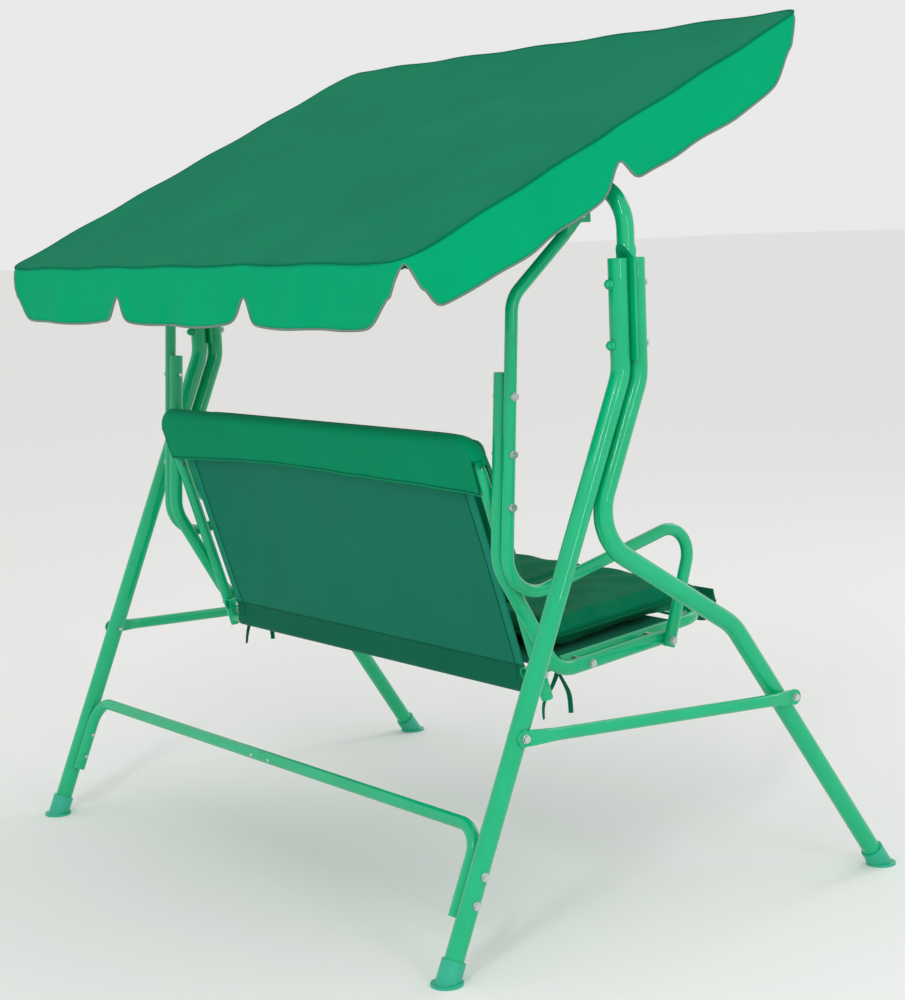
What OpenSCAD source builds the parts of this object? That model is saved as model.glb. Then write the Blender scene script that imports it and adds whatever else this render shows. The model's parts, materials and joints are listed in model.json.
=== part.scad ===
// Three-seat garden swing bench with a tilting canopy.
// Sitters face -Y, +Z is up, and the origin is on the floor under the middle of the bench.

/* [Frame] */
// Outside diameter of the leg tubes
leg_d = 38; // [30:1:45]
// Wall thickness of every tube
wall = 1.5; // [1:0.1:2]
// Distance from the middle of the bench to a rear leg
leg_x = 787; // [780:1:800]
// Distance from the middle of the bench to a front foot
front_foot_x = 846; // [830:1:860]
// Distance from the middle of the bench to each foot, front and rear
foot_y = 553; // [540:1:570]
// Height of the open leg tops
leg_top_z = 1303; // [1280:1:1320]
// Height of the top crossbar's axis
crossbar_z = 1440; // [1430:1:1450]

/* [Seat] */
// Outside diameter of the hanger tubes
hanger_d = 25; // [22:1:27]
// Outside diameter of the seat arm tubes
arm_d = 30; // [26:1:32]
// Height of the pivots that the seat hangs from
pivot_z = 1388; // [1384:1:1390]
// Thickness of the seat cushion
cushion_t = 45; // [40:1:60]
// Thickness of the back cushion
back_cushion_t = 75; // [60:1:80]

/* [Canopy] */
// Height of the canopy's rear edge
canopy_rear_z = 1317; // [1300:1:1330]
// Height of the canopy's front edge
canopy_front_z = 1775; // [1760:1:1790]
// Depth of the scalloped valance
valance_h = 125; // [100:1:135]

/* [Hidden] */

fine = 48;
lap = 0.4;
lap_skin = 0.04;
frame_green = "#17bd85";
steel = "#d8dde0";
plate_t = 6;
bolt_d = 8;
hole_gap = 0.1;

// Leg stack: rear leg, flattened upright and front leg, bolted one behind the other
stack_y = 65;
rear_top_y = stack_y + plate_t / 2 + leg_d / 2;
front_top_y = stack_y - plate_t / 2 - leg_d / 2;
rear_bend_z = 1085;
leg_slope = (foot_y - rear_top_y) / rear_bend_z;
leg_lean = atan(leg_slope);
pair_dy = (leg_d + plate_t) / cos(leg_lean);
front_bend_z = (foot_y - pair_dy - front_top_y) / leg_slope;
elbow_z = 784;
elbow_y = foot_y - pair_dy - leg_slope * elbow_z;
knee = [815, -165, 568];
foot_lift = 15;
front_foot = [front_foot_x, -foot_y, 0];
front_end = front_foot + (knee - front_foot) * foot_lift / knee[2];

// Seat tubes, each listed by its place across the bench
arm_x = 624;
hanger_x = arm_x + (arm_d + hanger_d) / 2 + 0.3;
seat_tube_d = 25;
back_x = arm_x - (arm_d + seat_tube_d) / 2 - 0.3;
rail_x = back_x - seat_tube_d - 0.3;
pivot_y = stack_y;
seat_back = 24;
eye_y = pivot_y - seat_back;
hanger_bend_z = 1235;
hanger_bend_y = 212;
post_slope = 0.0678;
rail_slope = 0.1;
back_slope = 0.3086;
rail_front_y = -350;
rail_rear_y = 150;
arm_bolt_z = [940, 1050];
rail_bolt_y = [30, -165];
back_bolt_y = 132;
back_bolt_z = 500 + (30 - back_bolt_y) * rail_slope;
back_foot_z = 436;
back_cross_z = 452;
back_cross_d = 22;
sling_half_w = 552;
back_top_z = 960;

// Canopy plane
canopy_x = 788;
canopy_rear_y = 583;
canopy_front_y = -418;
canopy_tilt = atan((canopy_front_z - canopy_rear_z) / (canopy_rear_y - canopy_front_y));
canopy_l = norm([canopy_rear_y - canopy_front_y, canopy_front_z - canopy_rear_z]);
canopy_pivot_z = 1500;
canopy_bar_d = 22;
canopy_arm_x = 755;
sheet_t = 3;
cloth_gap = 1;

function post_y(z) = hanger_bend_y + (hanger_bend_z - z) * post_slope;
function rail_z(y) = 500 + (30 - y) * rail_slope;
function back_y(z) = 128 + (z - 480) * back_slope;
function rear_y(z) = foot_y - leg_slope * z;
cross_z = (hanger_bend_y + hanger_bend_z * post_slope - 128 + 480 * back_slope)
    / (back_slope + post_slope);

function unit(v) = v / norm(v);
function turn(a, b) = acos(unit(a) * unit(b));

// A round bar or tube from one point to another
module rod(a, b, d, bore = 0) {
    v = b - a;
    run = norm(v);
    translate(a)
        rotate([0, acos(v[2] / run), atan2(v[1], v[0])])
            linear_extrude(run)
                ring(d, bore);
}

module ring(d, bore) {
    difference() {
        circle(d = d, $fn = fine);
        if (bore > 0) circle(d = bore, $fn = fine);
    }
}

// One bend of a tube: it leaves along a, arrives at corner p and goes on along b
module bend(p, a, b, radius, d, bore) {
    u = unit(a);
    n = unit(cross(a, b));
    x = cross(u, n);
    angle = turn(a, b);
    centre = p - u * radius * tan(angle / 2) - x * radius;
    multmatrix([
        [x[0], u[0], n[0], centre[0]],
        [x[1], u[1], n[1], centre[1]],
        [x[2], u[2], n[2], centre[2]],
        [0, 0, 0, 1]
    ])
        rotate_extrude(angle = angle, $fn = 96)
            translate([radius, 0])
                ring(d, bore);
}

// A bent tube through the corner points p, with one bend radius for each inner corner.
// Each straight runs a lap into its bends, whose wall is a skin thinner on both sides.
module bent_tube(p, radii, d) {
    bore = d - 2 * wall;
    last = len(p) - 1;
    trim = [for (i = [0:last]) (i == 0 || i == last) ? 0
        : radii[i - 1] * tan(turn(p[i] - p[i - 1], p[i + 1] - p[i]) / 2)];
    for (i = [0:last - 1]) {
        v = unit(p[i + 1] - p[i]);
        near = i == 0 ? 0 : trim[i] - lap;
        far = i == last - 1 ? 0 : trim[i + 1] - lap;
        rod(p[i] + v * near, p[i + 1] - v * far, d, bore);
    }
    for (i = [1:last - 1])
        bend(p[i], p[i] - p[i - 1], p[i + 1] - p[i], radii[i - 1], d - lap_skin, bore + lap_skin);
}

// Where a tube is pressed flat: round at the start, w wide and t thick after l.
// It runs along local Z and its thickness is across local X.
module flattening(d, w, t, l) {
    intersection() {
        cylinder(d1 = d, d2 = w, h = l, $fn = fine);
        translate([0, w, 0])
            rotate([90, 0, 0])
                linear_extrude(2 * w)
                    polygon([[-d / 2 - 0.2, 0], [d / 2 + 0.2, 0], [t / 2, l], [-t / 2, l]]);
    }
}

// Turns local Z along the vector v and keeps local X as close to world X as it can
module along(p, v) {
    w = unit(v);
    n = unit(cross(w, [1, 0, 0]));
    x = cross(n, w);
    multmatrix([[x[0], n[0], w[0], p[0]], [x[1], n[1], w[1], p[1]], [x[2], n[2], w[2], p[2]], [0, 0, 0, 1]])
        children();
}

module hole_x(y, z, x = 0, d = bolt_d + 2 * hole_gap, l = 120) {
    translate([x - l / 2, y, z]) rotate([0, 90, 0]) cylinder(d = d, h = l, $fn = fine);
}

module hole_y(x, z, y = 0, d = bolt_d + 2 * hole_gap, l = 160) {
    translate([x, y + l / 2, z]) rotate([90, 0, 0]) cylinder(d = d, h = l, $fn = fine);
}

leg_bolt_z = [1140, 1255];
brace_rear_z = 432;
brace_front = [824, -298, 405];
stretch_z = 265;
stretch_d = 26;
stretch_x = leg_x - leg_d / 2 - stretch_d / 2 - 0.3;
stretch_bolt_z = [140, 190];

module rear_leg(s) {
    color(frame_green)
        difference() {
            bent_tube([[s * leg_x, rear_y(foot_lift), foot_lift],
                [s * leg_x, rear_top_y, rear_bend_z],
                [s * leg_x, rear_top_y, leg_top_z]], [90], leg_d);
            for (z = leg_bolt_z) hole_y(s * leg_x, z, stack_y);
            for (z = stretch_bolt_z) hole_x(rear_y(z), z, s * leg_x);
            hole_x(rear_y(brace_rear_z), brace_rear_z, s * leg_x);
        }
}

module front_leg(s) {
    color(frame_green)
        difference() {
            bent_tube([[s * front_end[0], front_end[1], front_end[2]],
                [s * knee[0], knee[1], knee[2]],
                [s * leg_x, elbow_y, elbow_z],
                [s * leg_x, front_top_y, front_bend_z],
                [s * leg_x, front_top_y, leg_top_z]], [120, 105, 90], leg_d);
            for (z = leg_bolt_z) hole_y(s * leg_x, z, stack_y);
            hole_x(brace_front[1], brace_front[2], s * brace_front[0]);
        }
}

upright_round_z = 1330;
plate_w = 50;
plate_foot_z = 1110;
joint_x = 400;

module canopy_upright(s) {
    color(frame_green) {
        bent_tube([[s * leg_x, stack_y, upright_round_z], [s * leg_x, stack_y, crossbar_z],
            [s * joint_x, stack_y, crossbar_z]], [85], leg_d - 4);
        translate([s * leg_x, stack_y, upright_round_z + 0.5])
            rotate([0, 180, 90]) flattening(leg_d - 4.2, plate_w - 2, 5.2, upright_round_z - leg_top_z);
        difference() {
            translate([s * leg_x - plate_w / 2, stack_y - 2.8, plate_foot_z])
                cube([plate_w, 5.6, leg_top_z + 3 - plate_foot_z]);
            for (z = leg_bolt_z) hole_y(s * leg_x, z, stack_y);
        }
    }
}

module top_crossbar() {
    color(frame_green)
        rod([-joint_x + 0.3, stack_y, crossbar_z], [joint_x - 0.3, stack_y, crossbar_z],
            leg_d - 4, leg_d - 4 - 2 * wall);
}

module crossbar_joiners() {
    d = leg_d - 4 - 2 * wall - 0.4;
    color(steel)
        for (s = [-1, 1])
            rod([s * joint_x - 70, stack_y, crossbar_z], [s * joint_x + 70, stack_y, crossbar_z],
                d, d - 4);
}

bracket_t = 4;
bracket_gap = 10;

// A pair of cheeks under the crossbar at each hanger, with a saddle over the tube
module hanger_brackets() {
    bar = leg_d - 4;
    color(frame_green)
        for (s = [-1, 1])
            for (k = [-1, 1])
                difference() {
                    translate([s * hanger_x + k * (bracket_gap + bracket_t) / 2 - bracket_t / 2,
                        pivot_y - 24, pivot_z - 16])
                        cube([bracket_t, 48, crossbar_z - pivot_z + 38]);
                    hole_x(pivot_y, pivot_z, s * hanger_x, bolt_d + 0.1);
                    hole_x(stack_y, crossbar_z, s * hanger_x, bar + 0.4);
                }
}

module pivot_pins() {
    color(steel)
        for (s = [-1, 1])
            translate([s * hanger_x, pivot_y, pivot_z])
                rotate([0, 90, 0]) {
                    cylinder(d = bolt_d, h = 26, center = true, $fn = fine);
                    for (k = [-1, 1])
                        translate([0, 0, k * 12.2]) cylinder(d = 15, h = 5.6, center = true, $fn = fine);
                }
}

lug_w = 32;
lug_t = 4;
lug_run = 76;

// Flat-ended tube between the outer faces of the two legs
module side_brace(s) {
    a = [s * (leg_x + leg_d / 2 + 2.8), rear_y(brace_rear_z), brace_rear_z];
    b = [s * (brace_front[0] + leg_d / 2 + 7.4), brace_front[1], brace_front[2]];
    u = unit(b - a);
    run = norm(b - a);
    color(frame_green)
        difference() {
            union() {
                rod(a + u * (lug_run - 1), b - u * (lug_run - 1), seat_tube_d, seat_tube_d - 2 * wall);
                for (e = [[a, u], [b, -u]]) {
                    along(e[0] + e[1] * lug_run, -e[1])
                        flattening(seat_tube_d - 0.2, lug_w - 1, lug_t - 0.4, lug_run - 9);
                    translate(e[0] - [lug_t / 2, 0, 0])
                        rotate([0, 90, 0]) cylinder(d = lug_w, h = lug_t, $fn = fine);
                }
            }
            for (p = [a, b]) hole_x(p[1], p[2], p[0], bolt_d + 1);
        }
}

module rear_stretcher(s) {
    low = 110;
    color(frame_green)
        difference() {
            bent_tube([[s * 0.5, rear_y(stretch_z), stretch_z],
                [s * stretch_x, rear_y(stretch_z), stretch_z],
                [s * stretch_x, rear_y(low), low]], [55], stretch_d);
            for (z = stretch_bolt_z) hole_x(rear_y(z), z, s * stretch_x, bolt_d + 0.2, 60);
        }
}

module stretcher_joiner() {
    d = stretch_d - 2 * wall - 0.4;
    color(steel)
        rod([-70, rear_y(stretch_z), stretch_z], [70, rear_y(stretch_z), stretch_z], d, d - 4);
}

cap_h = 46;

// Plastic shoe under one foot: a socket for the slanted tube and a flat flange on the floor
module foot_cap(x, y, dir) {
    difference() {
        union() {
            translate([x, y, 0]) cylinder(d = 62, h = 5, $fn = fine);
            intersection() {
                rod([x, y, 0] - dir * 30, [x, y, 0] + dir * cap_h, leg_d + 9);
                translate([x - 60, y - 60, 0]) cube([120, 120, 90]);
            }
        }
        rod([x, y, 0] + dir * (foot_lift / dir[2]) - dir * 0.2, [x, y, 0] + dir * 120, leg_d + 0.4);
    }
}

module foot_caps() {
    color("#22b090")
        for (s = [-1, 1]) {
            foot_cap(s * leg_x, foot_y, unit([0, -leg_slope, 1]));
            foot_cap(s * front_foot_x, -foot_y,
                unit([s * (knee[0] - front_foot_x), knee[1] + foot_y, knee[2]]));
        }
}

// The seat hangs this far back, so that it balances under its pivots
module hung() {
    translate([0, seat_back, 0]) children();
}

// Hexagon head, shank and washer along +Y or +X
module bolt(l, head = 13) {
    cylinder(d = bolt_d, h = l, $fn = fine);
    translate([0, 0, -1.5]) cylinder(d = 17, h = 1.5, $fn = fine);
    translate([0, 0, -6.5]) cylinder(d = head * 1.1547, h = 5, $fn = 6);
}

module leg_bolts() {
    reach = leg_d * 2 + plate_t;
    color(steel)
        for (s = [-1, 1])
            for (z = leg_bolt_z)
                translate([s * leg_x, stack_y - reach / 2 - 0.2, z]) rotate([-90, 0, 0]) bolt(reach + 8);
}

module leg_cap_nuts() {
    reach = leg_d * 2 + plate_t;
    color("#129a6c")
        for (s = [-1, 1])
            for (z = leg_bolt_z)
                translate([s * leg_x, stack_y + reach / 2 + 0.2, z])
                    rotate([-90, 0, 0])
                        difference() {
                            union() {
                                cylinder(d = 18, h = 7, $fn = fine);
                                translate([0, 0, 7]) sphere(d = 14, $fn = fine);
                            }
                            translate([0, 0, -1]) cylinder(d = bolt_d + 0.2, h = 9.2, $fn = fine);
                        }
}

module brace_bolts() {
    color(steel)
        for (s = [-1, 1]) {
            translate([s * (leg_x + leg_d / 2 + 5), rear_y(brace_rear_z), brace_rear_z])
                rotate([0, -s * 90, 0]) bolt(leg_d + 12);
            translate([s * (brace_front[0] + leg_d / 2 + 9.6), brace_front[1], brace_front[2]])
                rotate([0, -s * 90, 0]) bolt(leg_d + 14);
        }
}

module stretcher_bolts() {
    color(steel)
        for (s = [-1, 1])
            for (z = stretch_bolt_z)
                translate([s * (leg_x + leg_d / 2 + 0.2), rear_y(z), z])
                    rotate([0, -s * 90, 0]) bolt(leg_d + stretch_d + 6);
}

block_x = 715;

// Block on top of the crossbar that carries the canopy's tilt pivot
module canopy_brackets() {
    bar = leg_d - 4;
    color(steel)
        for (s = [-1, 1])
            difference() {
                union() {
                    translate([s * (block_x - 20) - 8, stack_y - 8, crossbar_z]) cube([16, 16, 45]);
                    translate([s * (block_x - 3) - 25, stack_y - 16, canopy_pivot_z - 18])
                        cube([50, 32, 34]);
                }
                hole_x(stack_y, crossbar_z, s * block_x, bar + 0.4, 200);
                hole_x(stack_y, canopy_pivot_z, s * block_x, bolt_d + 0.2, 200);
            }
}

module canopy_pivot_bolts() {
    color(steel)
        for (s = [-1, 1])
            translate([s * (block_x - 28.2), stack_y, canopy_pivot_z]) rotate([0, s * 90, 0]) bolt(62);
}

eye_w = 30;
eye_t = 6;

module hanger(s) {
    tail = [rail_bolt_y[1], rail_z(rail_bolt_y[1])];
    color(frame_green)
        difference() {
            union() {
                bent_tube([[s * hanger_x, eye_y + 39, pivot_z - 41],
                    [s * hanger_x, hanger_bend_y, hanger_bend_z],
                    [s * hanger_x, post_y(645), 645],
                    [s * hanger_x, -250, 770],
                    [s * hanger_x, tail[0], tail[1] - 14]], [60, 75, 55], hanger_d);
                along([s * hanger_x, eye_y + 38.5, pivot_z - 40.5], [0, -38.5, 40.5])
                    flattening(hanger_d - 0.2, eye_w - 1, eye_t - 0.2, 50);
                translate([s * hanger_x - eye_t / 2, eye_y, pivot_z])
                    rotate([0, 90, 0]) cylinder(d = eye_w, h = eye_t, $fn = fine);
            }
            for (k = [-1, 1])
                hole_x(eye_y, pivot_z, s * hanger_x + k * 9, 64, 12);
            hole_x(eye_y, pivot_z, s * hanger_x, 12.04, 40);
            for (z = concat(arm_bolt_z, cross_z)) hole_x(post_y(z), z, s * hanger_x, bolt_d + 0.2, 60);
            hole_x(tail[0], tail[1], s * hanger_x, bolt_d + 0.2, 60);
        }
}

module pivot_bushes() {
    color("#e8e8e4")
        for (s = [-1, 1])
            rod([s * hanger_x - 3, eye_y, pivot_z], [s * hanger_x + 3, eye_y, pivot_z],
                12, bolt_d + 0.08);
}

module seat_arm(s) {
    color(frame_green)
        difference() {
            bent_tube([[s * arm_x, post_y(1095), 1095],
                [s * arm_x, post_y(725), 725],
                [s * arm_x, 110, rail_z(110)],
                [s * arm_x, -190, rail_z(-190)]], [90, 70], arm_d);
            for (z = arm_bolt_z) hole_x(post_y(z), z, s * arm_x, bolt_d + 0.2, 60);
            for (y = rail_bolt_y) hole_x(y, rail_z(y), s * arm_x, bolt_d + 0.2, 60);
            hole_x(back_y(cross_z), cross_z, s * arm_x, bolt_d + 0.2, 60);
        }
}

// Inverted U that frames the sling
module back_frame() {
    color(frame_green)
        difference() {
            bent_tube([[-back_x, back_y(back_foot_z), back_foot_z],
                [-back_x, back_y(back_top_z), back_top_z],
                [back_x, back_y(back_top_z), back_top_z],
                [back_x, back_y(back_foot_z), back_foot_z]], [70, 70], seat_tube_d);
            for (s = [-1, 1]) {
                hole_x(back_y(cross_z), cross_z, s * back_x, bolt_d + 0.2, 60);
                hole_x(back_y(back_bolt_z), back_bolt_z, s * back_x, bolt_d + 0.2, 60);
            }
        }
}

// Low tube across the backrest, which the foot of the sling wraps
module back_cross_tube() {
    x = back_x - seat_tube_d / 2 - 0.2;
    color(frame_green)
        rod([-x, back_y(back_cross_z), back_cross_z], [x, back_y(back_cross_z), back_cross_z],
            back_cross_d, back_cross_d - 2 * wall);
}

// U-shaped seat tube, open at the back
module seat_frame() {
    color(frame_green)
        difference() {
            bent_tube([[-rail_x, rail_rear_y, rail_z(rail_rear_y)],
                [-rail_x, rail_front_y, rail_z(rail_front_y)],
                [rail_x, rail_front_y, rail_z(rail_front_y)],
                [rail_x, rail_rear_y, rail_z(rail_rear_y)]], [70, 70], seat_tube_d);
            for (s = [-1, 1]) {
                for (y = rail_bolt_y) hole_x(y, rail_z(y), s * rail_x, bolt_d + 0.2, 60);
                hole_x(back_y(back_bolt_z), back_bolt_z, s * rail_x, bolt_d + 0.2, 60);
            }
        }
}

module seat_spacers() {
    inner = rail_x + seat_tube_d / 2 + 0.2;
    outer = arm_x - arm_d / 2 - 0.2;
    color(steel)
        for (s = [-1, 1])
            for (y = rail_bolt_y)
                rod([s * inner, y, rail_z(y)], [s * outer, y, rail_z(y)], 16, bolt_d + 0.2);
}

// A bolt across the seat tubes, from its head at one distance out to its end nearer the middle
module seat_bolt(s, from, y, z, to) {
    translate([s * from, y, z]) rotate([0, -s * 90, 0]) bolt(from - to);
}

module seat_bolts() {
    rail_face = rail_x - seat_tube_d / 2 + 0.2;
    hang_face = hanger_x + hanger_d / 2 + 0.2;
    arm_face = arm_x + arm_d / 2 + 0.2;
    back_face = back_x + seat_tube_d / 2 + 0.2;
    color(steel)
        for (s = [-1, 1]) {
            for (z = arm_bolt_z)
                seat_bolt(s, hang_face, post_y(z), z, arm_x - arm_d / 2 - 6);
            seat_bolt(s, hang_face, rail_bolt_y[1], rail_z(rail_bolt_y[1]), rail_face);
            seat_bolt(s, arm_face, rail_bolt_y[0], rail_z(rail_bolt_y[0]), rail_face);
            seat_bolt(s, hang_face, back_y(cross_z), cross_z, back_x - seat_tube_d / 2 + 1);
            seat_bolt(s, back_face, back_y(back_bolt_z), back_bolt_z, rail_face);
        }
}

back_lean = atan(back_slope);

// Places its children in the plane of the backrest: X across, Z up along the back, Y behind
module on_back(z) {
    translate([0, back_y(z), z]) rotate([-back_lean, 0, 0]) children();
}

module back_sling() {
    color("#1b7d65")
        on_back(475) translate([-sling_half_w, -1.5, 0]) cube([2 * sling_half_w, 3, 430]);
}

module seat_sling() {
    w = 2 * (rail_x - seat_tube_d / 2 - cloth_gap);
    color("#1b7d65")
        on_seat()
            translate([-w / 2, rail_front_y + 74, -1.5]) cube([w, 372, 3]);
}

cushion_w = 1080;
cushion_lift = 14;
cushion_front_y = rail_front_y - 55;
flap_h = 75;
flap_t = 3;

module on_seat() {
    translate([0, 0, rail_z(0)]) rotate([-atan(rail_slope), 0, 0]) children();
}

module seat_cushion() {
    color("#0a6b4e")
        on_seat()
            translate([-cushion_w / 2, cushion_front_y, cushion_lift])
                cube([cushion_w, 50 - cushion_front_y, cushion_t]);
}

// Cloth flap that hangs from the middle of the cushion's front edge
module seat_flap() {
    color("#0a6b4e")
        on_seat()
            translate([-cushion_w / 2, cushion_front_y - flap_t - 0.2,
                cushion_lift + cushion_t / 2 - flap_h])
                cube([cushion_w, flap_t, flap_h]);
}

module back_cushion() {
    color("#0a6b4e")
        on_back(590)
            translate([-cushion_w / 2, -20 - back_cushion_t, 0])
                cube([cushion_w, back_cushion_t, 385]);
}

hood_down = 110;
hood_side = 28;
hood_up = 17;
hood_t = 2.5;

// Pocket that slips over the top of the backrest; its ends stop above the arm posts
module back_hood() {
    deep = seat_tube_d / 2 + 1;
    wide = back_x + seat_tube_d / 2 + 1;
    color("#048a60")
        on_back(back_top_z)
            difference() {
                union() {
                    translate([-wide - hood_t, -deep - hood_t, -hood_side])
                        cube([2 * (wide + hood_t), 2 * (deep + hood_t), hood_side + hood_up]);
                    translate([-wide + 4, -deep - hood_t, -hood_down])
                        cube([2 * (wide - 4), 2 * (deep + hood_t), hood_down]);
                }
                translate([-wide, -deep, -hood_down - 1])
                    cube([2 * wide, 2 * deep, hood_down + 1 + hood_up - hood_t]);
            }
}

// Places its children in the canopy's own plane: pivot line at Y = 0, rear along +Y
module on_canopy() {
    translate([0, canopy_rear_y, canopy_rear_z])
        rotate([-canopy_tilt, 0, 0])
            children();
}

bar_drop = canopy_bar_d / 2 + sheet_t + 0.5;
bar_in = 24;

module canopy_arm(s) {
    color(frame_green) {
        difference() {
            union() {
                on_canopy()
                    rod([s * canopy_arm_x, -bar_in, -bar_drop],
                        [s * canopy_arm_x, -canopy_l + bar_in, -bar_drop],
                        canopy_bar_d, canopy_bar_d - 2 * wall);
                translate([s * (canopy_arm_x - 15) - 2, stack_y - 15, canopy_pivot_z - 15])
                    cube([4, 30, 44]);
                translate([s * (canopy_arm_x - 12) - 4, stack_y - 10, canopy_pivot_z + 25]) cube([8, 20, 4]);
            }
            hole_x(stack_y, canopy_pivot_z, s * (canopy_arm_x - 15), bolt_d + 0.1, 24);
        }
    }
}

module canopy_bar(y) {
    x = canopy_arm_x - canopy_bar_d / 2 - 0.3;
    color(frame_green)
        on_canopy()
            rod([-x, y, -bar_drop], [x, y, -bar_drop], canopy_bar_d, canopy_bar_d - 2 * wall);
}

// Hanging strip with n scallops, drawn in X and Z and one sheet thick
module valance(w, n) {
    pitch = w / n;
    straight = valance_h * 0.62;
    translate([-w / 2, sheet_t, 0])
        rotate([90, 0, 0])
            linear_extrude(sheet_t)
                union() {
                    translate([0, -straight]) square([w, straight]);
                    for (i = [0:n - 1])
                        translate([(i + 0.5) * pitch, -straight])
                            scallop(pitch * 0.94, valance_h - straight);
                }
}

module scallop(w, h) {
    r = (w * w / 4 + h * h) / (2 * h);
    intersection() {
        translate([0, r - h]) circle(r = r, $fn = 96);
        translate([-w / 2, -h - 1]) square([w, h + 1.5]);
    }
}

module canopy_sheet() {
    color("#0b7a5e")
        on_canopy()
            translate([-canopy_x, -canopy_l, -sheet_t]) cube([2 * canopy_x, canopy_l, sheet_t]);
}

edge_in = 0.6;
seam_in = 0.2;

// Scalloped strips sewn under the four edges of the top
module canopy_valance() {
    w = 2 * (canopy_x - edge_in) - 10;
    under = sheet_t * cos(canopy_tilt);
    behind = (edge_in + sheet_t) * tan(canopy_tilt);
    color("#0fa373") {
        translate([0, canopy_rear_y - sheet_t - edge_in, canopy_rear_z - under - seam_in]) valance(w, 3);
        translate([0, canopy_front_y + edge_in, canopy_front_z - under - behind - 3 * seam_in])
            valance(w, 3);
        for (s = [-1, 1])
            on_canopy()
                translate([s * (canopy_x - sheet_t / 2 - edge_in) + sheet_t / 2, -canopy_l / 2,
                    -sheet_t - seam_in])
                    rotate([0, 0, 90])
                        valance(canopy_l - 12, 2);
    }
}

module canopy_knob(s) {
    color("#202422")
        translate([s * (canopy_arm_x - 12.6), stack_y, canopy_pivot_z])
            rotate([0, s * 90, 0])
                difference() {
                    union() {
                        cylinder(d = 16, h = 6, $fn = fine);
                        translate([0, 0, 6]) cylinder(d = 30, h = 12, $fn = fine);
                    }
                    translate([0, 0, -1]) cylinder(d = bolt_d + 0.1, h = 12, $fn = fine);
                }
}

rear_leg(1);  // rear_leg_left
rear_leg(-1);  // rear_leg_right
front_leg(1);  // front_leg_left
front_leg(-1);  // front_leg_right
canopy_upright(1);  // canopy_upright_left
canopy_upright(-1);  // canopy_upright_right
top_crossbar();
crossbar_joiners();
hanger_brackets();
pivot_pins();
side_brace(1);  // side_brace_left
side_brace(-1);  // side_brace_right
rear_stretcher(1);  // rear_stretcher_left
rear_stretcher(-1);  // rear_stretcher_right
stretcher_joiner();
foot_caps();
leg_bolts();
leg_cap_nuts();
brace_bolts();
stretcher_bolts();
canopy_brackets();
canopy_pivot_bolts();
hung() hanger(1);  // hanger_left
hung() hanger(-1);  // hanger_right
hung() pivot_bushes();
hung() seat_arm(1);  // seat_arm_left
hung() seat_arm(-1);  // seat_arm_right
hung() back_frame();
hung() back_cross_tube();
hung() seat_frame();
hung() seat_spacers();
hung() seat_bolts();
hung() back_sling();
hung() seat_sling();
hung() seat_cushion();
hung() seat_flap();
hung() back_cushion();
hung() back_hood();
canopy_arm(1);  // canopy_arm_left
canopy_arm(-1);  // canopy_arm_right
canopy_bar(-canopy_l + bar_in);  // canopy_front_bar
canopy_bar(-bar_in);  // canopy_rear_bar
canopy_sheet();
canopy_valance();
canopy_knob(1);  // canopy_knob_left
canopy_knob(-1);  // canopy_knob_right
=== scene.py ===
import json
import math
import bmesh
import bpy
import numpy as np
from mathutils import Matrix, Vector


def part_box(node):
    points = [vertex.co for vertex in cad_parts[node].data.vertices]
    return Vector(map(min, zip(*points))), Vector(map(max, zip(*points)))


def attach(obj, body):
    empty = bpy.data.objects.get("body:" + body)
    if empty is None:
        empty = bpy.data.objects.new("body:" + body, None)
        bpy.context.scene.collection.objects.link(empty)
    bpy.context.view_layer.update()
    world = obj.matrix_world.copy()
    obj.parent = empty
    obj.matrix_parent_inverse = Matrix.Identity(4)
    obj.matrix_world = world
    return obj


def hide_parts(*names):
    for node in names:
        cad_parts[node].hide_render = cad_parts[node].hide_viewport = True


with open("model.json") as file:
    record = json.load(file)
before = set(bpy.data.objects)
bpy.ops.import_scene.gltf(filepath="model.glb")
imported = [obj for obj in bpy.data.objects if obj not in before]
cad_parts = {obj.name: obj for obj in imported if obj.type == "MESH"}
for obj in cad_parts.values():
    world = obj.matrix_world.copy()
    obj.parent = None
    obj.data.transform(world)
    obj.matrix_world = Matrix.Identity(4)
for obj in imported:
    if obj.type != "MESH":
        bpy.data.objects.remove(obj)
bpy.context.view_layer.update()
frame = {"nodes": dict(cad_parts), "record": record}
print("frame loaded")

viewpoint = {
    "place": (-3.774, 2.724, 1.381),  # metres, behind the bench on its right side
    "yaw": -126.6,  # degrees from +Y
    "pitch": -7.8,
    "roll": -2.35,
    "lens": 75.6,  # mm on a 36 mm sensor
    "shift": (0.004, 0.011),
}


# The view direction comes from yaw and pitch, and right and up are then turned by the roll
def makeCamera(v):
    yaw, pitch, roll = (math.radians(v[k]) for k in ("yaw", "pitch", "roll"))
    ahead = Vector((-math.cos(pitch) * math.sin(yaw), math.cos(pitch) * math.cos(yaw),
                    math.sin(pitch)))
    right = ahead.cross(Vector((0, 0, 1))).normalized()
    up = right.cross(ahead)
    rolledRight = right * math.cos(roll) + up * math.sin(roll)
    rolledUp = up * math.cos(roll) - right * math.sin(roll)
    data = bpy.data.cameras.new("camera")
    data.sensor_width = 36
    data.lens = v["lens"]
    data.shift_x, data.shift_y = v["shift"]
    cam = bpy.data.objects.new("camera", data)
    turn = Matrix((rolledRight, rolledUp, -ahead)).transposed()
    cam.matrix_world = Matrix.Translation(v["place"]) @ turn.to_4x4()
    bpy.context.scene.collection.objects.link(cam)
    bpy.context.scene.camera = cam


makeCamera(viewpoint)
# the default transform washes saturated greens out
bpy.context.scene.view_settings.view_transform = "Standard"


# sRGB hex to the linear colour that shaders take
def hexColour(code):
    part = [int(code[i:i + 2], 16) / 255 for i in (1, 3, 5)]
    return tuple(c / 12.92 if c <= 0.04045 else ((c + 0.055) / 1.055) ** 2.4 for c in part) + (1,)


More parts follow.
